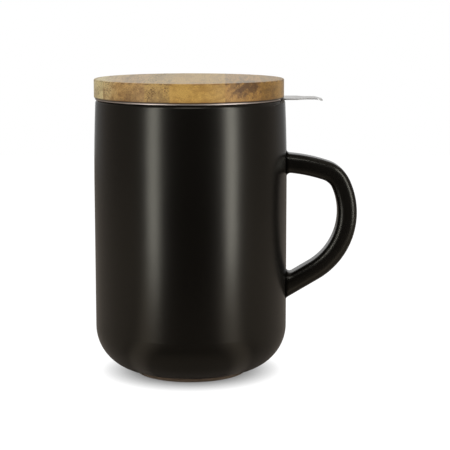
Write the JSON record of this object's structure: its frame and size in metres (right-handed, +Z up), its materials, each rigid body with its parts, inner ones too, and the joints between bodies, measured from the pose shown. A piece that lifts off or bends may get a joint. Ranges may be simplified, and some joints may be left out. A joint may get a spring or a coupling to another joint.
{
  "type": "lidded tea mug with infuser",
  "caption": "Tall straight-sided ceramic tea mug with a strap handle, a lift-out steel infuser basket with a thumb tab, and a turned wooden lid with a sealing ring.",
  "frame": {"origin": "centre of the foot ring's flat face, on the table", "axes": "+Z up along the mug's axis, +X towards the handle, so -Y is the side the picture was taken from"},
  "size_m": [0.1174, 0.086, 0.1321],
  "materials": {
    "black_glaze": "satin, near-black warm glaze; foot ring bare tan clay",
    "infuser_steel": "polished stainless sheet with fine brushing",
    "infuser_mesh": "perforated stainless sheet",
    "seal_silicone": "matt translucent silicone",
    "lid_wood": "oiled hardwood staves, grain from front to back"
  },
  "bodies": {
    "mug": {"mug_body": "black_glaze", "mug_handle": "black_glaze"},
    "infuser": {"infuser_flange": "infuser_steel", "infuser_sleeve": "infuser_mesh", "infuser_base": "infuser_mesh"},
    "seal": {"lid_seal": "seal_silicone"},
    "lid": {"lid_stave_1": "lid_wood", "lid_stave_2": "lid_wood", "lid_stave_3": "lid_wood", "lid_stave_4": "lid_wood", "lid_stave_5": "lid_wood", "lid_stave_6": "lid_wood"}
  },
  "joints": [
    {"name": "infuser_lift", "type": "slide", "parent": "mug", "child": "infuser", "axis": [0, 0, 1], "range_m": [0, 0.11]},
    {"name": "lid_lift", "type": "slide", "parent": "infuser", "child": "seal", "axis": [0, 0, 1], "range_m": [0, 0.06]},
    {"name": "lid_turn", "type": "hinge", "parent": "seal", "child": "lid", "pos_m": [-0.00057, 0, 0.1238], "axis": [0, 0, 1], "continuous": true}
  ]
}
